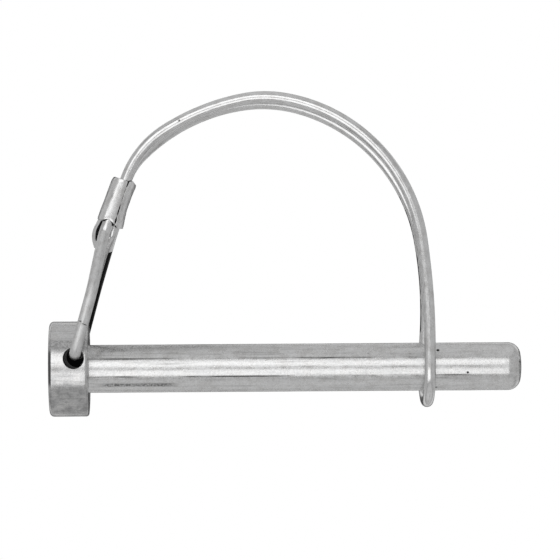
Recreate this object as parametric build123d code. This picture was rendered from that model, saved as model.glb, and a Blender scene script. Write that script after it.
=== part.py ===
from build123d import *
import os
from math import asin, cos, pi, radians, sin, tan

# Round-wire lock pin: a headed pin, a sprung wire bail and the ferrule that joins the wire.
#
# Frame: origin on the pin's axis where the shank meets the head, +X along the shank towards its tip,
# +Z up to the crown of the bail. Lengths are in millimetres and angles in degrees.

# ---------------------------------------------------------------- driving dimensions
SHANK_DIAMETER = 6.35
SHANK_LENGTH = 57.15
TIP_ROUND = 1.7
TIP_DOME_RADIUS = 11.0
HEAD_DIAMETER = 12.6
HEAD_LENGTH = 5.2
HEAD_EDGE_ROUND = 0.55
UNDERHEAD_EDGE_ROUND = 0.35

HOLE_DIAMETER = 2.78
HOLE_X = -1.83
HOLE_Z = 1.50

WIRE_DIAMETER = 1.53
PIVOT_X = -1.62                # axis of the wire where it crosses the head
PIVOT_Z = 1.98
LEG_CORNER_Y = 8.0             # where the crossing's line meets the line of a leg
LEG_CORNER_RADIUS = 1.5
LEG_KNEE = (0.75, 6.6, 10.6)   # where a leg turns in towards the ferrule
LEG_KNEE_RADIUS = 6.0

FERRULE_FOOT = (2.80, 19.15)   # x and z of the ferrule's axis at its lower end
FERRULE_TOP = (4.98, 24.88)
FERRULE_WALL = 0.36
FERRULE_GAP = 0.05             # between the wires and the inside of the strip
SEAM_WIDTH = 0.16
SEAM_OFFSET = 0.62             # of the seam from the ferrule's axis
LAYER_Y = 0.79                 # of the front and rear layers of wire in the ferrule
FIRST_END_GRIP = 1.0           # how far the wire's first end reaches into the ferrule
LAST_END_CROOK = 1.6           # above the ferrule's foot, where the last end straightens
TOP_LEFT = -0.72               # of the rear layer's room at the ferrule's top, from its axis
TOP_RIGHT = 0.40
TOP_LEAD = 1.1                 # straight wire below the ferrule's top
TOP_LEAD_RADIUS = 3.0
MOUTH = 1.3                    # below the ferrule, where the legs start to spread
MOUTH_RADIUS = 2.0

BOW_START_ANGLE = 71.0
# Each bow is a chain of tangent arcs, as (radius, turn), and then a straight leg.
FRONT_BOW = [(12.6, 39.1), (29.8, 21.6), (15.4, 19.7), (22.0, 72.6), (100.0, 8.0)]
REAR_BOW = [(8.2, 25.8), (24.1, 36.9), (18.0, 22.5), (22.3, 65.7), (52.6, 14.1)]

LOOP_RADIUS = 4.6              # of the wire's centre line round the shank
LOOP_X_FRONT = 45.15
LOOP_X_REAR = 44.3             # the rear leg leans in towards the head
LOOP_TOP_Z = 2.5               # where the loop's legs are parted from the bow
FLEX_X = 23.4                  # station of the bow where its flexing is gathered
FLEX_GAP = 0.04

TAIL_START = 0.3
TAIL_BULGE = (0.98, 17.75)     # x and z where the wire's last end turns back, below the ferrule
TAIL_TIP = (1.50, 16.25)
TAIL_RADIUS = 2.2

wire_radius = WIRE_DIAMETER / 2


# ---------------------------------------------------------------- helpers
def along_wire(path):
    """Round wire along a path."""
    section = Plane(origin=path @ 0, z_dir=path % 0)
    return sweep(section * Circle(wire_radius), path=path)


ferrule_axis = (Vector(FERRULE_TOP[0], 0, FERRULE_TOP[1]) - Vector(FERRULE_FOOT[0], 0, FERRULE_FOOT[1]))
ferrule_length = ferrule_axis.length
ferrule_frame = Plane(
    origin=(FERRULE_FOOT[0], 0, FERRULE_FOOT[1]),
    x_dir=Vector(ferrule_axis.Z, 0, -ferrule_axis.X),
    z_dir=ferrule_axis,
)


def in_ferrule(across, depth, up):
    """A point given in the ferrule: across to the right, depth to the rear, up from its foot."""
    return ferrule_frame.from_local_coords(Vector(across, depth, up))


# Wire stations at the ferrule's foot and top, as (across, depth).
front_foot, front_top = (-0.15, -LAYER_Y), (0.06, -LAYER_Y)
tail_foot, rear_top = (-0.86, LAYER_Y), (0.06, LAYER_Y)
leg_foot = (0.72, LAYER_Y)
leg_slope = 0.03                # the first end leans in as the strip narrows
front_slope = (front_top[0] - front_foot[0]) / ferrule_length
bow_start = Vector(cos(radians(BOW_START_ANGLE)), 0, sin(radians(BOW_START_ANGLE)))


# ---------------------------------------------------------------- pin
def shank_section():
    """Half section of the shank, with its rounded corner and slightly domed end."""
    radius = SHANK_DIAMETER / 2
    dome_angle = asin(radius / TIP_DOME_RADIUS)
    dome_centre = SHANK_LENGTH - TIP_DOME_RADIUS
    corner = (dome_centre + TIP_DOME_RADIUS * cos(dome_angle), radius)
    crown = (
        dome_centre + TIP_DOME_RADIUS * cos(dome_angle / 2),
        TIP_DOME_RADIUS * sin(dome_angle / 2),
    )
    sides = Polyline((SHANK_LENGTH, 0), (0, 0), (0, radius), corner)
    dome = ThreePointArc(corner, crown, (SHANK_LENGTH, 0))
    section = make_face([sides, dome])
    return fillet(section.vertices().sort_by_distance(corner)[0], TIP_ROUND)


def headed_pin():
    """Cold-headed pin with a plain cylindrical head, a domed tip and a cross hole for the wire."""
    head = extrude(Plane.YZ * Circle(HEAD_DIAMETER / 2), amount=-HEAD_LENGTH)
    head = fillet(head.edges().filter_by(GeomType.CIRCLE).sort_by(Axis.X)[0], HEAD_EDGE_ROUND)
    head = fillet(head.edges().filter_by(GeomType.CIRCLE).sort_by(Axis.X)[-1], UNDERHEAD_EDGE_ROUND)
    shank = revolve(Plane.XZ * shank_section(), Axis.X)
    hole = Pos(HOLE_X, 0, HOLE_Z) * Rot(90, 0, 0) * Cylinder(HOLE_DIAMETER / 2, 2 * HEAD_DIAMETER)
    return head + shank - hole


# ---------------------------------------------------------------- wire
def hinge_end():
    """From the wire's first end, down the rear leg, through the head and up the front leg."""
    top = in_ferrule(*front_top, ferrule_length)
    route = [
        in_ferrule(leg_foot[0] - leg_slope * FIRST_END_GRIP, LAYER_Y, FIRST_END_GRIP),
        in_ferrule(leg_foot[0] + leg_slope * MOUTH, LAYER_Y, -MOUTH),
        Vector(LEG_KNEE[0], LEG_KNEE[1], LEG_KNEE[2]),
        Vector(PIVOT_X, LEG_CORNER_Y, PIVOT_Z),
        Vector(PIVOT_X, -LEG_CORNER_Y, PIVOT_Z),
        Vector(LEG_KNEE[0], -LEG_KNEE[1], LEG_KNEE[2]),
        in_ferrule(front_foot[0] - front_slope * MOUTH, -LAYER_Y, -MOUTH),
        top - bow_start * TOP_LEAD,
        top,
    ]
    radii = [
        MOUTH_RADIUS,
        LEG_KNEE_RADIUS,
        LEG_CORNER_RADIUS,
        LEG_CORNER_RADIUS,
        LEG_KNEE_RADIUS,
        MOUTH_RADIUS,
        TOP_LEAD_RADIUS,
    ]
    return along_wire(FilletPolyline(*route, radius=radii))


def bow_path(bends, start, loop_x, side):
    """Tangent arcs in an upright plane, from the ferrule's top to the shank's axis beside the loop."""
    plan = Vector(loop_x - start.X, side * LOOP_RADIUS - start.Y, 0)
    plane = Plane(origin=start, x_dir=plan, z_dir=plan.cross(Vector(0, 0, 1)))
    edges = []
    point = Vector(0, 0, 0)
    angle = BOW_START_ANGLE
    for radius, turn in bends:
        tangent = (cos(radians(angle)), sin(radians(angle)))
        arc = JernArc(start=point, tangent=tangent, radius=radius, arc_size=-turn)
        edges.append(arc)
        point = arc @ 1
        angle -= turn
    drop = -start.Z - point.Y
    edges.append(Line(point, (point.X + drop / tan(radians(angle)), -start.Z)))
    return plane * Wire(edges)


def split_bow(bow):
    """The bow's two sides, parted at the flex station, without the loop's straight legs."""
    reach = 2 * SHANK_LENGTH
    left = Pos(FLEX_X - FLEX_GAP / 2 - reach / 2, 0, reach / 2) * Box(reach, reach, reach)
    right = Pos(FLEX_X + FLEX_GAP / 2 + reach / 2, 0, LOOP_TOP_Z + reach / 2) * Box(reach, reach, reach)
    return bow & left, bow & right


def wire_loop(front_path, rear_path):
    """The wire's turn under the shank with the lower part of both legs, as one piece."""
    front_end, rear_end = front_path @ 1, rear_path @ 1
    front_down, rear_down = front_path % 1, rear_path % 1
    overlap = 2 * LOOP_TOP_Z     # the legs are drawn longer and then cut level with the bow
    front_leg = Line(front_end + front_down * (overlap / front_down.Z), front_end)
    rear_leg = Line(rear_end, rear_end + rear_down * (overlap / rear_down.Z))
    middle = (front_end + rear_end) / 2
    reach = (front_end - rear_end) / 2
    drop = Vector(0, 0, LOOP_RADIUS)
    quarters = [pi / 4 * k for k in range(5)]
    stations = [middle + reach * cos(a) - drop * sin(a) for a in quarters]
    directions = [(reach * -sin(a) - drop * cos(a)).normalized() for a in quarters]
    turn = Spline(*stations, tangents=[front_down, *directions[1:-1], -rear_down])
    below_top = Pos(middle.X, middle.Y, LOOP_TOP_Z - overlap) * Box(overlap * 3, overlap * 3, overlap * 2)
    return along_wire(Wire([front_leg, turn, rear_leg])) & below_top


def last_end():
    """The wire's last end: down through the ferrule to its left side, then a short curled tail."""
    top = in_ferrule(*rear_top, ferrule_length)
    route = [
        top,
        top - bow_start * TOP_LEAD,
        in_ferrule(*tail_foot, LAST_END_CROOK),
        in_ferrule(*tail_foot, -TAIL_START),
        Vector(TAIL_BULGE[0], LAYER_Y, TAIL_BULGE[1]),
        Vector(TAIL_TIP[0], LAYER_Y, TAIL_TIP[1]),
    ]
    radii = [TOP_LEAD_RADIUS, TOP_LEAD_RADIUS, TAIL_START, TAIL_RADIUS]
    return along_wire(FilletPolyline(*route, radius=radii))


# ---------------------------------------------------------------- ferrule
def hull_face(up, stations, radius):
    """Face of a strip's outline drawn tight round wires at the given stations of one level."""
    rounds = [Pos(*station) * Circle(radius) for station in stations]
    edges = [edge for disc in rounds for edge in disc.edges()]
    return ferrule_frame * Pos(0, 0, up) * make_hull(edges)


def ferrule():
    """Strip rolled round the wires, narrower at its top, with an open seam down its front."""
    foot_stations = [front_foot, tail_foot, leg_foot]
    top_stations = [front_top, (TOP_LEFT, LAYER_Y), (TOP_RIGHT, LAYER_Y)]
    inner = wire_radius + FERRULE_GAP
    outer = inner + FERRULE_WALL
    skin = loft([hull_face(0, foot_stations, outer), hull_face(ferrule_length, top_stations, outer)])
    core = loft([hull_face(0, foot_stations, inner), hull_face(ferrule_length, top_stations, inner)])
    seam = Pos(SEAM_OFFSET, -LAYER_Y - outer, ferrule_length / 2) * Box(
        SEAM_WIDTH, 2 * outer, 2 * ferrule_length
    )
    return skin - core - ferrule_frame * seam


# ---------------------------------------------------------------- assembly
front_path = bow_path(FRONT_BOW, in_ferrule(*front_top, ferrule_length), LOOP_X_FRONT, -1)
rear_path = bow_path(REAR_BOW, in_ferrule(*rear_top, ferrule_length), LOOP_X_REAR, 1)
front_left, front_right = split_bow(along_wire(front_path))
rear_left, rear_right = split_bow(along_wire(rear_path))

nodes = {
    "headed_pin": headed_pin(),
    "wire_hinge_end": hinge_end(),
    "wire_front_bow_left": front_left,
    "wire_rear_bow_left": rear_left,
    "wire_last_end": last_end(),
    "ferrule": ferrule(),
    "wire_front_bow_right": front_right,
    "wire_rear_bow_right": rear_right,
    "wire_loop": wire_loop(front_path, rear_path),
}

os.makedirs("parts", exist_ok=True)
for name, solid in nodes.items():
    export_step(solid, f"parts/{name}.step")
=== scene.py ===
"""Looks for the round-wire lock pin: the pin, its one-piece wire bail and the crimped ferrule."""
from math import cos, pi, radians, sin

import bmesh
import bpy
import numpy as np
from mathutils import Matrix, Vector, noise


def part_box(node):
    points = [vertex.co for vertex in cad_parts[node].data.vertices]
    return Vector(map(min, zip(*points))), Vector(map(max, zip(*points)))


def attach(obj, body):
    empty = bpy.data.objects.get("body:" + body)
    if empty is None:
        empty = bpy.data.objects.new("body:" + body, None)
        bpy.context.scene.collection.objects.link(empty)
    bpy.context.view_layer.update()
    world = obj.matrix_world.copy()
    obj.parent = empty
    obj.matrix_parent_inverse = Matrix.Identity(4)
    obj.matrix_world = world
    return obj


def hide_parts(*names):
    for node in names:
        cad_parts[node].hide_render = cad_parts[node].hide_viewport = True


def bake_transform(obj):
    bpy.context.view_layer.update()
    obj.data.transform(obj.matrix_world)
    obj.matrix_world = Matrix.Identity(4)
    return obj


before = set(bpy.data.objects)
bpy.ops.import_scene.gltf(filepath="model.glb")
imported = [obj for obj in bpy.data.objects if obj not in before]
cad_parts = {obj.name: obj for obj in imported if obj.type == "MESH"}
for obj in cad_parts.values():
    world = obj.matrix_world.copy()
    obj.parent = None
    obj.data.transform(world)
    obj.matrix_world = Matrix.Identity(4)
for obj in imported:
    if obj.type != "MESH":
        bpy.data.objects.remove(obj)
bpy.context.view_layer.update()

MM = 0.001

# ---------------------------------------------------------------- sizes, in millimetres and radians
# pin, along X from the head's far face to the tip
HEAD_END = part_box("headed_pin")[0][0] / MM
HEAD_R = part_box("headed_pin")[1][2] / MM
HEAD_CROWN = 0.02
HEAD_ROUND = 0.62
HEAD_ROUND_DEPTH = 0.58
SKIRT_ROUND = 0.36
HEAD_FILLET = 0.12
SHANK_R = 3.175
SHANK_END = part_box("headed_pin")[1][0] / MM
TIP_DOME_R = 11.0
TIP_ROUND = 1.7
HOLE = np.array([-1.83, 1.50])
HOLE_R = 1.39
HOLE_REACH = 9.0

# deeper pits in the pin's skin towards the tip, each a place and a radius; the first is the largest
PITS = [((56.90, -2.00, 0.55), 0.50), ((46.07, -2.29, 2.20), 0.26), ((49.97, -3.08, -0.74), 0.20)]

# ferrule, from its foot to its top; the wires lie in two layers in it, front and rear
LAYER = 0.79
FERRULE_FOOT = np.array([2.80, 0.0, 19.15])
FERRULE_TOP = np.array([4.98, 0.0, 24.88])
FERRULE_LENGTH = float(np.linalg.norm(FERRULE_TOP - FERRULE_FOOT))
FERRULE_UP = (FERRULE_TOP - FERRULE_FOOT) / FERRULE_LENGTH
FERRULE_ACROSS = np.array([FERRULE_UP[2], 0.0, -FERRULE_UP[0]])

# wire; PIVOT is the X and Z of its crossing in the head, and LOOP_X is for the front (-1) and rear (1) side
WIRE_R = 0.765
PIVOT = np.array([-1.62, 1.98])
STRAND_ACROSS = 0.06
STRAND_LEAD = 1.1
WIRE_WANDER = 0.008
WIRE_END_SHRINK = 0.86
WIRE_END_RISE = 0.09
WIRE_UV_LENGTH = 100
LOOP_R = 4.6
LOOP_X = {-1: 45.15, 1: 44.3}

# each strand of the bow as tangent arcs: radius, and turn in degrees
BOW_START_ANGLE = 71.0
FRONT_BOW = [(12.6, 39.1), (29.8, 21.6), (15.4, 19.7), (22.0, 72.6), (100.0, 8.0)]
REAR_BOW = [(8.2, 25.8), (24.1, 36.9), (18.0, 22.5), (22.3, 65.7), (52.6, 14.1)]

# strip of the ferrule; a higher STRIP_DRAW follows the wires more tightly
STRIP_INNER = WIRE_R + 0.045
STRIP_WALL = 0.32
STRIP_DRAW = 3.6
STRIP_EDGE_ROUND = 0.09
SEAM = radians(-60)

# how finely the pieces are divided
ARC_STEP = 0.12
BOW_STEP = 0.2
LOOP_STEPS = 60
WIRE_SIDES = 24
WIRE_STEP = 0.28
PIN_SIDES = 144
HOLE_SIDES = 64
STRIP_LEVELS = 44
STRIP_STEPS = 150

# camera, level along +Y; the view's width is measured at the pin; the lights face LIT_POINT
CAMERA_PLACE = np.array([25.33, -700.0, 11.585])
CAMERA_ROLL = radians(-0.394)
VIEW_WIDTH = 74.032
SENSOR_WIDTH = 36.0
LIT_POINT = Vector((26.0, 0.0, 12.0))


# ---------------------------------------------------------------- small helpers
def unit(v):
    return v / np.linalg.norm(v)


def ease(x, low, high):
    """0 below low, 1 above high, smooth between."""
    t = min(max((x - low) / (high - low), 0.0), 1.0)
    return t * t * (3 - 2 * t)


def plateau(x, rise, fall):
    """0, rising to 1 over one range, then falling to 0 over another."""
    return ease(x, *rise) * (1 - ease(x, *fall))


def bump_at(angle, middle, spread):
    """A rounded bump about one angle."""
    away = (angle - middle + pi) % (2 * pi) - pi
    return np.exp(-((away / spread) ** 2))


def smooth_noise(place, seed):
    """Noise about zero that keeps its value for one place and seed."""
    return noise.noise(Vector(place) + Vector((7.3 * seed, -3.1 * seed, 11.9 * seed)))


def in_ferrule(across, depth, up):
    """A point given in the ferrule: across to the right, depth to the rear, up from its foot."""
    return FERRULE_FOOT + across * FERRULE_ACROSS + np.array([0.0, depth, 0.0]) + up * FERRULE_UP


def line_points(start, end, steps):
    """Points on a straight line, without its start."""
    return [tuple(s + (e - s) * (k / steps) for s, e in zip(start, end)) for k in range(1, steps + 1)]


def arc_points(centre, radii, first, last, steps):
    """Points on an arc from the first angle to the last, without its start."""
    angles = [first + (last - first) * (k / steps) for k in range(1, steps + 1)]
    return [(centre[0] + radii[0] * cos(a), centre[1] + radii[1] * sin(a)) for a in angles]


def ring_faces(first, second):
    """Faces between two closed rings of as many points."""
    count = len(first)
    return [(first[k], first[(k + 1) % count], second[(k + 1) % count], second[k]) for k in range(count)]


def mesh_object(name, verts, faces, uv=None, **point_values):
    """A smooth mesh piece from millimetre points, with a UV and named values for each point if given."""
    mesh = bpy.data.meshes.new(name)
    mesh.from_pydata([tuple(float(c) * MM for c in v) for v in verts], [], faces)
    mesh.polygons.foreach_set("use_smooth", [True] * len(mesh.polygons))
    if uv is not None:
        layer = mesh.uv_layers.new(name="along")
        for loop in mesh.loops:
            layer.data[loop.index].uv = uv[loop.vertex_index]
    for key, values in point_values.items():
        mesh.attributes.new(key, "FLOAT", "POINT").data.foreach_set("value", [float(v) for v in values])
    mesh.validate()
    mesh.update()
    piece = bpy.data.objects.new(name, mesh)
    bpy.context.scene.collection.objects.link(piece)
    return piece


# ---------------------------------------------------------------- wire
def rounded(corners):
    """Points along straight runs joined by tangent arcs, from pairs of a corner and its bend radius."""
    places = [np.array(place, float) for place, _ in corners]
    radii = [radius for _, radius in corners]
    out = [places[0]]
    for before, corner, after, radius in zip(places, places[1:], places[2:], radii[1:]):
        back, on = unit(before - corner), unit(after - corner)
        half = np.arccos(np.clip(back @ on, -1, 1)) / 2
        middle = corner + unit(back + on) * radius / sin(half)
        start = corner + back * radius / np.tan(half)
        turn = pi - 2 * half
        steps = max(4, int(turn * radius / ARC_STEP))
        for k in range(steps + 1):
            a = turn * k / steps
            out.append(middle + (start - middle) * cos(a) + unit(corner - start) * radius * sin(a))
    out.append(places[-1])
    return out


def bow(bends, side):
    """Tangent arcs in an upright plane from the ferrule's top, then straight down to the shank's axis."""
    start = in_ferrule(STRAND_ACROSS, side * LAYER, FERRULE_LENGTH)
    along = unit(np.array([LOOP_X[side] - start[0], side * LOOP_R - start[1], 0.0]))
    rise = np.array([0.0, 0.0, 1.0])
    point, angle, out = np.zeros(2), radians(BOW_START_ANGLE), [start]
    for radius, turn in bends:
        centre = point + radius * np.array([sin(angle), -cos(angle)])
        count = int(radius * radians(turn) / BOW_STEP)
        for k in range(1, count + 1):
            a = angle - radians(turn) * k / count
            flat = centre + radius * np.array([-sin(a), cos(a)])
            out.append(start + along * flat[0] + rise * flat[1])
        point, angle = flat, angle - radians(turn)
    drop = -start[2] - point[1]
    out.append(start + along * (point[0] + drop / np.tan(angle)) - rise * start[2])
    return out


def wire_route():
    """The whole wire from its first end in the ferrule to its curled last end."""
    lead = STRAND_LEAD * np.array([cos(radians(BOW_START_ANGLE)), 0.0, sin(radians(BOW_START_ANGLE))])
    front_top = in_ferrule(STRAND_ACROSS, -LAYER, FERRULE_LENGTH)
    rear_top = in_ferrule(STRAND_ACROSS, LAYER, FERRULE_LENGTH)
    legs = [
        (in_ferrule(0.69, LAYER, 1.0), 0.0),
        (in_ferrule(0.76, LAYER, -1.3), 2.0),
        ((0.75, 6.6, 10.6), 6.0),
        ((PIVOT[0], 8.0, PIVOT[1]), 1.5),
        ((PIVOT[0], -8.0, PIVOT[1]), 1.5),
        ((0.75, -6.6, 10.6), 6.0),
        (in_ferrule(-0.19, -LAYER, -1.3), 2.0),
        (front_top - lead, 3.0),
        (front_top, 0.0),
    ]
    tail = [
        (rear_top, 0.0),
        (rear_top - lead, 3.0),
        (in_ferrule(-0.86, LAYER, 1.6), 3.0),
        (in_ferrule(-0.86, LAYER, -0.3), 0.3),
        ((0.98, LAYER, 17.75), 2.2),
        ((1.50, LAYER, 16.25), 0.0),
    ]
    front, rear = bow(FRONT_BOW, -1), bow(REAR_BOW, 1)
    middle, reach = (front[-1] + rear[-1]) / 2, (front[-1] - rear[-1]) / 2
    under = np.array([0.0, 0.0, LOOP_R])
    angles = [pi * k / LOOP_STEPS for k in range(1, LOOP_STEPS)]
    turn = [middle + reach * cos(a) - under * sin(a) for a in angles]
    return np.array(rounded(legs) + front[1:] + turn + rear[::-1] + rounded(tail)[1:])


def evenly(route, step):
    """The route's points again, evenly spaced, and how far along it each one is."""
    gaps = np.linalg.norm(np.diff(route, axis=0), axis=1)
    route = route[np.r_[True, gaps > 1e-6]]
    along = np.r_[0, np.cumsum(np.linalg.norm(np.diff(route, axis=0), axis=1))]
    marks = np.linspace(0, along[-1], int(along[-1] / step) + 1)
    return np.stack([np.interp(marks, along, route[:, i]) for i in range(3)], axis=1), marks


def wire_soot(place, radial):
    """How dark the wire is painted at one place of its middle line, on the side that radial points to:
    mostly painted shade where strands lie close.
    """
    x, y, z = place
    to_right, to_rear = radial[0], radial[1]
    if y > 1.2 and x < 5.0 and 2.2 < z < 17.6:
        # painted shade on the rear leg's right side
        facing = ease(to_right, 0.0, 0.25) * (1 - ease(to_rear, 0.05, 0.35))
        return facing * plateau(z, (2.2, 3.0), (15.6, 16.2))
    if y < 0 and x < 2.0 and abs(z - 6.0) < 0.5:
        # a faint dark band across the front leg
        dark_band = 1 - ease(abs(z - 6.0 + 0.25 * to_right), 0.05, 0.35)
        return 0.62 * dark_band * ease(-to_rear, 0.0, 0.6)
    if y > 0.3 and x > 34.0 and 2.0 < z < 28.0:
        # painted shade along the inner edge of the rear strand, above the loop
        return 0.60 * (1 - ease(to_right, -0.90, -0.60)) * plateau(z, (2.0, 5.0), (22.0, 28.0))
    if y > 0.3 and x < 2.6 and 15.5 < z < 19.6:
        # painted shade where the tail lies by the front leg
        return ease(to_right, -0.55, -0.25) * (1 - ease(to_rear, 0.2, 0.5)) * ease(z, 16.7, 17.1)
    return 0.0


def wire_dullness(place):
    """How far the plating is rubbed dull: most of the way along the front leg."""
    x, y, z = place
    return ease(-y, 1.0, 2.0) * (1 - ease(x, 3.0, 5.0)) * ease(z, 1.0, 3.0)


def wire_piece():
    """A tube swept along the wire's route, with sheared ends."""
    centre, marks = evenly(wire_route(), WIRE_STEP)
    for _ in range(3):
        centre[1:-1] = (centre[:-2] + 2 * centre[1:-1] + centre[2:]) / 4
    tangent = np.gradient(centre, axis=0)
    tangent /= np.linalg.norm(tangent, axis=1)[:, None]
    across = unit(np.cross(tangent[0], [1.0, 0.2, 0.1]))
    verts, uv, faces, soot, dull, rings = [], [], [], [], [], []
    for place, ahead, mark in zip(centre, tangent, marks):
        across = unit(across - (across @ ahead) * ahead)
        other = np.cross(ahead, across)
        rings.append(range(len(verts), len(verts) + WIRE_SIDES))
        for k in range(WIRE_SIDES):
            a = 2 * pi * k / WIRE_SIDES
            radial = across * cos(a) + other * sin(a)
            wander = 1 - WIRE_WANDER * (1 + smooth_noise((mark * 0.35, 2 * cos(a), 2 * sin(a)), 1))
            verts.append(place + radial * WIRE_R * wander)
            uv.append((k / WIRE_SIDES, mark / WIRE_UV_LENGTH))
            # painted shade where the strands lie close, and a dark band across the front leg
            soot.append(wire_soot(place, radial))
            dull.append(wire_dullness(place))
    for first, second in zip(rings, rings[1:]):
        faces += ring_faces(first, second)

    # both ends: a small chamfer, then a flat face
    for end, outward in ((0, -1), (-1, 1)):
        chamfer = range(len(verts), len(verts) + WIRE_SIDES)
        for k in rings[end]:
            shrunk = centre[end] + (verts[k] - centre[end]) * WIRE_END_SHRINK
            verts.append(shrunk + tangent[end] * outward * WIRE_END_RISE)
            uv.append(uv[k])
            soot.append(0.3)
            dull.append(0.0)
        if outward > 0:
            faces += [*ring_faces(chamfer, rings[end]), tuple(chamfer)]
        else:
            faces += [*ring_faces(rings[end], chamfer), tuple(chamfer[::-1])]
    return mesh_object("wire_bail", verts, faces, uv, soot=soot, dull=dull)


# ---------------------------------------------------------------- pin
def pin_profile():
    """The pin's half section as (x, radius): head, underhead corner, shank and domed tip."""
    face_r = HEAD_R - HEAD_ROUND
    side_x = HEAD_END + HEAD_CROWN + HEAD_ROUND_DEPTH
    dome_x = SHANK_END - TIP_DOME_R
    round_r = SHANK_R - TIP_ROUND
    round_x = dome_x + np.sqrt((TIP_DOME_R - TIP_ROUND) ** 2 - round_r**2)
    reach = np.arctan2(round_x - dome_x, round_r)
    return [
        *[(HEAD_END + HEAD_CROWN * (k / 12) ** 2, face_r * k / 12) for k in range(13)],
        *arc_points((side_x, face_r), (HEAD_ROUND_DEPTH, HEAD_ROUND), pi, pi / 2, 8),
        *line_points((side_x, HEAD_R), (-SKIRT_ROUND, HEAD_R), 14),
        *arc_points((-SKIRT_ROUND, HEAD_R - SKIRT_ROUND), (SKIRT_ROUND, SKIRT_ROUND), pi / 2, 0, 6),
        *line_points((0.0, HEAD_R - SKIRT_ROUND), (0.0, SHANK_R + HEAD_FILLET), 5),
        *arc_points((HEAD_FILLET, SHANK_R + HEAD_FILLET), (HEAD_FILLET, HEAD_FILLET), pi, 3 * pi / 2, 5),
        *line_points((HEAD_FILLET, SHANK_R), (round_x, SHANK_R), 89),
        *arc_points((round_x, round_r), (TIP_ROUND, TIP_ROUND), pi / 2, pi / 2 - reach, 14),
        *arc_points((dome_x, 0.0), (TIP_DOME_R, TIP_DOME_R), pi / 2 - reach, 0, 10),
    ]


def pin_ring(x, r):
    """One ring of the pin's skin, a little uneven, or a single point on the axis."""
    if r < 1e-6:
        return [(x, 0.0, 0.0)]
    ring = []
    for k in range(PIN_SIDES):
        a = 2 * pi * k / PIN_SIDES
        place = (x * 0.28, 1.6 * cos(a), 1.6 * sin(a))
        wide_dip = 0.010 * (1 + smooth_noise(place, 2))
        close_dip = 0.004 * (1 + smooth_noise([3 * c for c in place], 3))
        skin = r - wide_dip - close_dip
        ring.append((x, skin * cos(a), skin * sin(a)))
    return ring


def pin_piece():
    """The headed pin, turned round its axis, with the cross hole cut through its head."""
    verts, faces, rings = [], [], []
    for x, r in pin_profile():
        ring = pin_ring(x, r)
        rings.append(range(len(verts), len(verts) + len(ring)))
        verts += ring
    for first, second in zip(rings, rings[1:]):
        if len(first) == 1:
            faces += [(first[0], second[(k + 1) % PIN_SIDES], second[k]) for k in range(PIN_SIDES)]
        elif len(second) == 1:
            faces += [(first[k], first[(k + 1) % PIN_SIDES], second[0]) for k in range(PIN_SIDES)]
        else:
            faces += ring_faces(first, second)
    piece = mesh_object("pin_body", verts, faces)

    cutter = hole_cutter()
    cut = piece.modifiers.new("cross_hole", "BOOLEAN")
    cut.operation, cut.solver, cut.object = "DIFFERENCE", "EXACT", cutter
    evaluated = piece.evaluated_get(bpy.context.evaluated_depsgraph_get())
    drilled = bpy.data.meshes.new_from_object(evaluated)
    piece.modifiers.clear()
    piece.data = drilled
    drilled.polygons.foreach_set("use_smooth", [True] * len(drilled.polygons))
    drilled.set_sharp_from_angle(angle=radians(38))
    bpy.data.objects.remove(cutter)
    return piece


def hole_cutter():
    """A straight drill's worth of material across the head."""
    verts, faces, rings = [], [], []
    for y in (-HOLE_REACH, -HOLE_REACH / 3, HOLE_REACH / 3, HOLE_REACH):
        rings.append(range(len(verts), len(verts) + HOLE_SIDES))
        for k in range(HOLE_SIDES):
            a = 2 * pi * k / HOLE_SIDES
            verts.append((HOLE[0] + HOLE_R * cos(a), y, HOLE[1] + HOLE_R * sin(a)))
    for first, second in zip(rings, rings[1:]):
        faces += ring_faces(first, second)
    faces += [tuple(rings[0][::-1]), tuple(rings[-1])]
    cutter = mesh_object("cutter", verts, faces)
    skin = bmesh.new()
    skin.from_mesh(cutter.data)
    bmesh.ops.recalc_face_normals(skin, faces=skin.faces)
    skin.to_mesh(cutter.data)
    skin.free()
    return cutter


# ---------------------------------------------------------------- ferrule
def ferrule_stations(up):
    """Where the strip is drawn over the wires at one height: its ridge, front wire, left and right sides."""
    share = up / FERRULE_LENGTH
    ridge = np.array([-0.36 - 0.04 * share, -LAYER])
    front = np.array([0.14 + 0.28 * (1 - share) ** 2, -LAYER + 0.08])
    left = np.array([-0.70 - 0.02 * share, LAYER])
    # no wire fills the right side above the first end, so the crimp pulls it in there
    right = np.array([0.92 - 0.44 * ease(up, -1.0, 3.0) + 0.05 * ease(up, 4.5, 6.0), LAYER])
    return ridge, front, left, right


def strip_point(up, phi, radius):
    """Across and depth of the strip in one direction phi: a soft band drawn round the stations."""
    normal = np.array([cos(phi), sin(phi)])
    stations = ferrule_stations(up)
    pull = np.array([STRIP_DRAW * (s @ normal) for s in stations])
    weight = np.exp(pull - pull.max())
    weight /= weight.sum()
    return sum(w * s for w, s in zip(weight, stations)) + radius * normal


def strip_noise(phi, share, size, length, seed):
    """Noise on the strip, finer for a larger size round it or length along it."""
    return smooth_noise((size * cos(phi), size * sin(phi), length * share), seed)


def strip_shift(share, phi):
    """How far the strip's uneven edges move a point along the ferrule."""
    # the foot arches over the front wire, and its right flange hangs lower
    arch = 0.52 * bump_at(phi, radians(262), 0.62) + 0.10 * bump_at(phi, pi, 0.5)
    flange = 0.18 * bump_at(phi, radians(-28), 0.35)
    # the top's corners are worn round, and its right flange stands higher
    corner = 0.38 * bump_at(phi, radians(178), 0.42) + 0.16 * bump_at(phi, radians(5), 0.35)
    painted_line_above_highlight = 0.22 * bump_at(phi, radians(-35), 0.4)
    wander = 0.05 * strip_noise(phi, share, 4, 1, 6)
    return (arch - flange) * (1 - share) ** 3 - (corner - painted_line_above_highlight) * share**4 + wander


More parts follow.
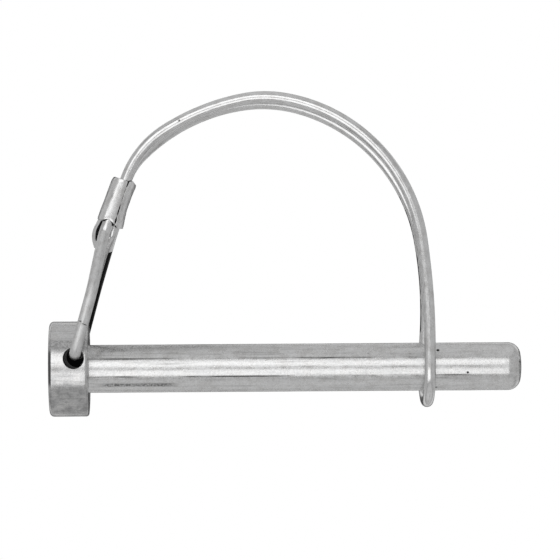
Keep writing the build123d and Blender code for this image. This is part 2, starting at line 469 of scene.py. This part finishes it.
def strip_relief(share, phi):
    """Dents, a drawn-in edge at both ends, and the strip's edges rolled in at the seam."""
    dents = 0.030 * strip_noise(phi, share, 2.5, 4, 5)
    dents += 0.030 * bump_at(phi, radians(-20), 0.6) * strip_noise(phi, share, 9, 14, 8)
    from_end = min(share, 1 - share) * FERRULE_LENGTH
    return dents - 0.045 * (1 - ease(from_end, 0.0, 0.35)) - 0.05 * bump_at(phi, SEAM, 0.12)


def strip_faces():
    """Inner, outer and edge faces of the strip, whose points alternate between inside and outside."""
    row = 2 * (STRIP_STEPS + 1)
    faces = []
    for level in range(STRIP_LEVELS - 1):
        first = level * row
        last = first + 2 * STRIP_STEPS
        for a in range(first, last, 2):
            faces.append((a, a + 2, a + row + 2, a + row))
            faces.append((a + 1, a + row + 1, a + row + 3, a + 3))
        faces.append((first, first + row, first + row + 1, first + 1))
        faces.append((last, last + 1, last + row + 1, last + row))
    top = (STRIP_LEVELS - 1) * row
    for a in range(0, 2 * STRIP_STEPS, 2):
        faces.append((a, a + 1, a + 3, a + 2))
        faces.append((top + a, top + a + 2, top + a + 3, top + a + 1))
    return faces


def ferrule_piece():
    """Strip rolled round the wires: tight over the front wire, open seam at its right, uneven edges."""
    verts, soot = [], []
    for level in range(STRIP_LEVELS):
        share = level / (STRIP_LEVELS - 1)
        up = share * FERRULE_LENGTH
        opening = 0.05 + 0.16 * smooth_noise((share * 7.0, 0.0, 0.0), 9)
        gap = 2 * max(0.006, opening * (1 - 0.5 * ease(share, 0.75, 0.95))) / (STRIP_INNER + STRIP_WALL)
        seam_soot = 0.75 if opening > 0.05 else 0.26
        # painted shade along the strip's top and bottom edges
        end_soot = 0.50 if level in (0, STRIP_LEVELS - 1) else 0.0
        for k in range(STRIP_STEPS + 1):
            phi = SEAM + gap / 2 + (2 * pi - gap) * k / STRIP_STEPS
            shift, relief = strip_shift(share, phi), strip_relief(share, phi)
            for radius in (STRIP_INNER, STRIP_INNER + STRIP_WALL):
                across, depth = strip_point(up, phi, radius + relief)
                verts.append(in_ferrule(across, depth, up + shift))
            # the strip's inside is painted black as shade; outside, the seam is dark and the end edges carry
            # painted shade
            soot += [1.0, max(seam_soot * bump_at(phi, SEAM, 0.10), end_soot)]
    piece = mesh_object("ferrule_strip", verts, strip_faces(), soot=soot)
    edge = piece.modifiers.new("edge_round", "BEVEL")
    edge.width, edge.segments = STRIP_EDGE_ROUND * MM, 3
    edge.limit_method, edge.angle_limit = "ANGLE", radians(45)
    return piece


# ---------------------------------------------------------------- materials
def grey(v, warm=0.0):
    return (v + warm, v, v - warm, 1.0)


class Nodes:
    """A short way to write the node tree of a material or of the world."""

    def __init__(self, owner):
        owner.use_nodes = True
        self.owner = owner
        self.tree = owner.node_tree
        self.shader = self.tree.nodes.get("Principled BSDF")

    def add(self, kind, inputs=None, **settings):
        """A new node, its inputs linked to sockets or set to values."""
        node = self.tree.nodes.new(kind)
        for key, value in settings.items():
            setattr(node, key, value)
        for key, value in (inputs or {}).items():
            socket = node.inputs[key]
            if isinstance(value, bpy.types.NodeSocket):
                self.tree.links.new(value, socket)
            else:
                socket.default_value = value
        return node

    def math(self, operation, *values):
        return self.add("ShaderNodeMath", dict(enumerate(values)), operation=operation).outputs[0]

    def times(self, *values):
        """The product of several values."""
        out = values[0]
        for value in values[1:]:
            out = self.math("MULTIPLY", out, value)
        return out

    def largest(self, *values):
        """The largest of several values."""
        out = values[0]
        for value in values[1:]:
            out = self.math("MAXIMUM", out, value)
        return out

    def remap(self, value, low, high, to_low=0.0, to_high=1.0, **settings):
        """The value with its range from low to high brought to another range, and held inside that."""
        limits = {"Value": value, "From Min": low, "From Max": high, "To Min": to_low, "To Max": to_high}
        return self.add("ShaderNodeMapRange", limits, **settings).outputs["Result"]

    def band(self, value, middle, half, soft):
        """1 within half of the middle, falling to 0 over the soft edge; all three in millimetres."""
        away = self.math("ABSOLUTE", self.math("ADD", value, -middle * MM))
        return self.remap(away, half * MM, (half + soft) * MM, 1.0, 0.0, interpolation_type="SMOOTHSTEP")

    def ramp(self, source, stops):
        """A colour ramp through the stops, each a place and a colour."""
        node = self.add("ShaderNodeValToRGB", {"Fac": source})
        node.color_ramp.elements[0].position, node.color_ramp.elements[0].color = stops[0]
        node.color_ramp.elements[1].position, node.color_ramp.elements[1].color = stops[-1]
        for place, colour in stops[1:-1]:
            node.color_ramp.elements.new(place).color = colour
        return node.outputs["Color"]

    def mix(self, factor, under, over, blend_type="MIX"):
        """One colour laid over another."""
        inputs = {0: factor, 6: under, 7: over}
        return self.add("ShaderNodeMix", inputs, data_type="RGBA", blend_type=blend_type).outputs[2]

    def cloud(self, vector, scale, detail, roughness):
        """Soft noise about 0.5."""
        values = {"Vector": vector, "Scale": scale, "Detail": detail, "Roughness": roughness}
        return self.add("ShaderNodeTexNoise", values).outputs["Fac"]

    def link(self, source, socket):
        self.tree.links.new(source, self.shader.inputs[socket])


def zinc(name, place, tone, rough, streaks, grains, bump, grit, stains_and_shade=None):
    """Zinc plate on steel: mottled tone, drawing streaks, dark dashes and specks, fine grain and pits."""
    m = Nodes(bpy.data.materials.new(name))
    if place == "object":
        where = m.add("ShaderNodeTexCoord").outputs["Object"]
    else:
        where = m.add("ShaderNodeUVMap", uv_map="along").outputs["UV"]
    streak_place = m.add("ShaderNodeMapping", {"Vector": where, "Scale": streaks}).outputs["Vector"]
    grain_place = m.add("ShaderNodeMapping", {"Vector": where, "Scale": grains}).outputs["Vector"]
    streak = m.cloud(streak_place, 1.0, 6.0, 0.65)
    dashes = m.cloud(streak_place, 0.55, 3.0, 0.75)
    mottle = m.cloud(grain_place, 0.8, 4.0, 0.6)
    grain = m.cloud(grain_place, 4.5, 3.0, 0.7)
    cells = m.add("ShaderNodeTexVoronoi", {"Vector": grain_place, "Scale": 0.75, "Randomness": 1.0})
    pits = m.add("ShaderNodeTexVoronoi", {"Vector": grain_place, "Scale": 3.0}).outputs["Distance"]

    # colour of the plating, its streaks and grain, then the stains and painted shade
    tones = [(0.30, grey(tone * 0.84, 0.006)), (0.52, grey(tone)), (0.72, grey(tone * 1.08, -0.003))]
    lines = m.ramp(streak, [(0.30, grey(0.58)), (0.44, grey(0.96)), (0.62, grey(1.04)), (1.0, grey(1.0))])
    fine = m.ramp(grain, [(0.30, grey(0.80)), (0.50, grey(1.0)), (0.70, grey(1.10))])
    base = m.mix(0.8, m.ramp(mottle, tones), lines, "MULTIPLY")
    base = m.mix(grit, base, fine, "MULTIPLY")
    if stains_and_shade is not None:
        stain_and_shade = stains_and_shade(m, where, dashes, grain, mottle)
        shade = m.ramp(stain_and_shade, [(0.0, grey(1.0)), (0.96, grey(0.16)), (1.0, grey(0.0))])
        base = m.mix(1.0, base, shade, "MULTIPLY")

    # black: the painted shade and dark marks stored on the points, with a ragged edge, and a few specks
    soot = m.add("ShaderNodeAttribute", attribute_name="soot").outputs["Fac"]
    ragged = m.math("MULTIPLY_ADD", m.math("ADD", mottle, -0.5), 0.8, soot)
    spot = m.remap(cells.outputs["Distance"], 0.05, 0.16, 1.0, 0.0)
    chosen = m.add("ShaderNodeSeparateColor", {"Color": cells.outputs["Color"]}).outputs["Red"]
    specks = m.times(spot, m.math("GREATER_THAN", chosen, 0.90), 0.85)
    black = m.largest(m.remap(ragged, 0.42, 0.58), specks)
    m.link(m.mix(black, base, grey(0.004)), "Base Color")
    m.link(m.remap(black, 0.0, 1.0, 1.0, 0.0), "Metallic")
    m.link(m.remap(black, 0.0, 1.0, 0.5, 0.05), "Specular IOR Level")

    polished = m.remap(mottle, 0.3, 0.7, rough * 0.8, rough * 1.25)
    dull = m.add("ShaderNodeAttribute", attribute_name="dull").outputs["Fac"]
    m.link(m.math("MULTIPLY_ADD", dull, 0.30, polished), "Roughness")

    pit = m.ramp(pits, [(0.0, grey(0.0)), (0.10, grey(1.0)), (1.0, grey(1.0))])
    height = m.math("MULTIPLY_ADD", pit, 0.4, m.math("ADD", grain, streak))
    relief = m.add("ShaderNodeBump", {"Strength": bump, "Distance": 0.03 * MM, "Height": height})
    m.link(relief.outputs["Normal"], "Normal")
    return m.owner


def pin_stains_and_shade(m, where, dashes, grain, mottle):
    """How dark the pin is marked: rub lines, deeper pits, a head darkening in blotches towards its bottom,
    its far rim and the tip's edge; painted shade along the top and on the hole's wall; painted dark lines of
    reflection beside the shank's highlight.
    """
    axes = m.add("ShaderNodeSeparateXYZ", {0: where}).outputs
    x, y, z = axes["X"], axes["Y"], axes["Z"]
    on_head = m.math("LESS_THAN", x, -0.02 * MM)
    on_shank = m.math("GREATER_THAN", x, -0.02 * MM)
    front = m.math("LESS_THAN", y, 0.0)
    rough_edge = m.remap(grain, 0.35, 0.60)
    broken = m.remap(dashes, 0.44, 0.58)
    blotches = m.remap(mottle, 0.30, 0.62)

    # a hatched rub line low on the front, painted shade along the top, and two painted dark lines of
    # reflection bordering the highlight on the front of the shank
    rub = m.times(front, m.band(x, 6.5, 3.5, 2.5), m.band(z, -2.12, 0.08, 0.24), rough_edge, 0.95)
    top_shade = m.times(m.band(x, 4.0, 8.0, 16.0), m.band(z, 3.2, 0.4, 0.6), rough_edge, 0.6)
    plain = m.times(m.band(x, 26.0, 24.0, 4.0), front, on_shank, broken)
    painted_line_above_highlight = m.times(plain, m.band(z, 1.32, 0.04, 0.12), 0.9)
    painted_line_below_highlight = m.times(plain, m.band(z, -1.04, 0.04, 0.12), 0.95)

    # the head's underside, its far rim and the tip's edge
    under = m.times(on_head, m.remap(z, 0.0, -3.2 * MM, 0.12, 0.62), blotches)
    rim = m.times(m.band(x, HEAD_END + 0.20, 0.12, 0.18), m.band(z, 0.2, 1.8, 1.2), 0.95)
    tip = m.times(m.band(x, SHANK_END - 0.13, 0.10, 0.30), broken, 0.9)

    # the deeper pits, the largest with a ragged edge
    pits = []
    for spot, size in PITS:
        away = m.add("ShaderNodeVectorMath", {0: where, 1: [c * MM for c in spot]}, operation="DISTANCE")
        pits.append(m.remap(away.outputs["Value"], size * 0.6 * MM, size * MM, 1.0, 0.0))
    pits[0] = m.times(pits[0], rough_edge)

    # the wall of the cross hole is painted black, as painted shade inside the hole
    off_x = m.math("ADD", x, -HOLE[0] * MM)
    off_z = m.math("ADD", z, -HOLE[1] * MM)
    across = m.add("ShaderNodeCombineXYZ", {"X": off_x, "Z": off_z}).outputs[0]
    from_axis = m.add("ShaderNodeVectorMath", {0: across}, operation="LENGTH").outputs["Value"]
    hole_shade = m.math("LESS_THAN", from_axis, (HOLE_R + 0.015) * MM)
    return m.largest(rub, top_shade, painted_line_above_highlight, painted_line_below_highlight, under, rim, tip, hole_shade, *pits)


def wire_zinc():
    """Drawn wire: its streaks follow the UV along it."""
    look = {"tone": 0.74, "rough": 0.22, "bump": 0.12, "grit": 0.5}
    return zinc("zinc_wire", "uv", streaks=(26.0, 60.0, 1.0), grains=(5.0, 100.0, 1.0), **look)


def pin_zinc():
    """Cold-headed pin: long streaks along X, coarser grain, and its stains and painted shade."""
    look = {"tone": 0.72, "rough": 0.27, "bump": 0.30, "grit": 0.9, "stains_and_shade": pin_stains_and_shade}
    return zinc("zinc_pin", "object", streaks=(110.0, 2200.0, 2200.0), grains=(900.0, 900.0, 900.0), **look)


def ferrule_zinc():
    """Bright sheet strip, with faint streaks up and down."""
    look = {"tone": 0.78, "rough": 0.28, "bump": 0.12, "grit": 0.6}
    return zinc("zinc_ferrule", "object", streaks=(900.0, 900.0, 300.0), grains=(1100.0,) * 3, **look)


def matt(name, dark, light, scale):
    """A matt surface that varies a little between two greys."""
    m = Nodes(bpy.data.materials.new(name))
    cloud = m.add("ShaderNodeTexNoise", {"Scale": scale}).outputs["Fac"]
    m.link(m.ramp(cloud, [(0.0, grey(dark)), (1.0, grey(light))]), "Base Color")
    return m


# ---------------------------------------------------------------- studio
def stage_card(name, corners, material):
    """A flat card that belongs to the studio, from four corners in metres."""
    mesh = bpy.data.meshes.new(name)
    mesh.from_pydata(corners, [], [(0, 1, 2, 3)])
    mesh.materials.append(material)
    card = bpy.data.objects.new(name, mesh)
    bpy.context.scene.collection.objects.link(card)
    return card


def floor():
    """A pale floor, wide enough to fill the views from above, that throws no reflection on the metal."""
    half, drop = 2.4, -0.16
    paper = matt("paper", 0.88, 0.92, 40.0)
    paper.shader.inputs["Roughness"].default_value = 0.9
    corners = [(-half, -half, drop), (half, -half, drop), (half, half, drop), (-half, half, drop)]
    stage_card("floor", corners, paper.owner).visible_glossy = False


def hole_shade_card():
    """A small black card far behind the head, which the camera sees only through the cross hole: it stands
    in for the hole's shade as painted shade.
    """
    far, half_width, half_height = 3.0, 0.009, 0.012
    shade_card_black = matt("shade_card_black", 0.0, 0.004, 90.0)
    shade_card_black.shader.inputs["Roughness"].default_value = 1.0
    shade_card_black.shader.inputs["Specular IOR Level"].default_value = 0.0
    eye, hole = CAMERA_PLACE * MM, np.array([HOLE[0], 0.0, HOLE[1]]) * MM
    middle = eye + (hole - eye) * (far - eye[1]) / -eye[1]
    signs = [(-1, -1), (1, -1), (1, 1), (-1, 1)]
    corners = [(middle[0] + i * half_width, far, middle[2] + j * half_height) for i, j in signs]
    stage_card("hole_shade_card", corners, shade_card_black.owner)


def surroundings():
    """White to the lens and to matt surfaces; the metal mirrors a grey room that darkens straight behind."""
    world = bpy.data.worlds.new("surroundings")
    bpy.context.scene.world = world
    w = Nodes(world)
    direction = w.add("ShaderNodeTexCoord").outputs["Generated"]
    axes = w.add("ShaderNodeSeparateXYZ", {0: direction}).outputs
    bands = [(0.0, 0.54), (0.60, 0.54), (0.70, 0.32), (0.76, 0.60), (1.0, 0.62)]
    walls = w.ramp(w.math("ABSOLUTE", axes["Z"]), [(place, grey(value)) for place, value in bands])
    behind = w.remap(axes["Y"], 0.80, 0.95, interpolation_type="SMOOTHSTEP")
    room = w.mix(behind, walls, grey(0.05))
    ray = w.add("ShaderNodeLightPath").outputs
    plain = w.largest(ray["Is Camera Ray"], ray["Is Diffuse Ray"])
    w.tree.links.new(w.mix(plain, room, grey(1.0)), w.tree.nodes["Background"].inputs["Color"])


def area_light(name, place, size, power):
    """A soft box turned to the middle of the pin and bow; its place and size are in metres."""
    light = bpy.data.lights.new(name, "AREA")
    light.shape, light.size, light.size_y, light.energy = "RECTANGLE", size[0], size[1], power
    lamp = bpy.data.objects.new(name, light)
    lamp.location = place
    lamp.rotation_euler = (LIT_POINT * MM - Vector(place)).to_track_quat("-Z", "Y").to_euler()
    bpy.context.scene.collection.objects.link(lamp)


def camera():
    """Level view along +Y, square to the pin, with a small roll."""
    lens = bpy.data.cameras.new("camera")
    lens.sensor_width = SENSOR_WIDTH
    lens.lens = SENSOR_WIDTH * -CAMERA_PLACE[1] / VIEW_WIDTH
    eye = bpy.data.objects.new("camera", lens)
    turned = Matrix.Rotation(pi / 2, 4, "X") @ Matrix.Rotation(CAMERA_ROLL, 4, "Z")
    eye.matrix_world = Matrix.Translation(Vector(CAMERA_PLACE) * MM) @ turned
    bpy.context.scene.collection.objects.link(eye)
    bpy.context.scene.camera = eye


# ---------------------------------------------------------------- putting it together
camera()
floor()
surroundings()
hole_shade_card()

# soft boxes above and below the lens, mostly to its left, and two weak ones behind
area_light("front_upper", (-0.20, -0.64, 0.30), (0.76, 0.44), 1.05)
area_light("front_lower", (-0.20, -0.64, -0.28), (0.76, 0.44), 1.05)
area_light("rear_upper", (0.026, 0.62, 0.36), (1.2, 0.26), 0.35)
area_light("rear_lower", (0.026, 0.62, -0.34), (1.2, 0.26), 0.30)

wire = wire_piece()
wire.data.materials.append(wire_zinc())
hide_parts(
    "wire_hinge_end",
    "wire_front_bow_left",
    "wire_rear_bow_left",
    "wire_last_end",
    "wire_front_bow_right",
    "wire_rear_bow_right",
    "wire_loop",
)
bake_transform(wire)

pin = pin_piece()
pin.data.materials.append(pin_zinc())
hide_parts("headed_pin")
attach(pin, "pin")

ferrule = ferrule_piece()
ferrule.data.materials.append(ferrule_zinc())
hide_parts("ferrule")
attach(ferrule, "bail")

bpy.context.scene.view_settings.view_transform = "Standard"
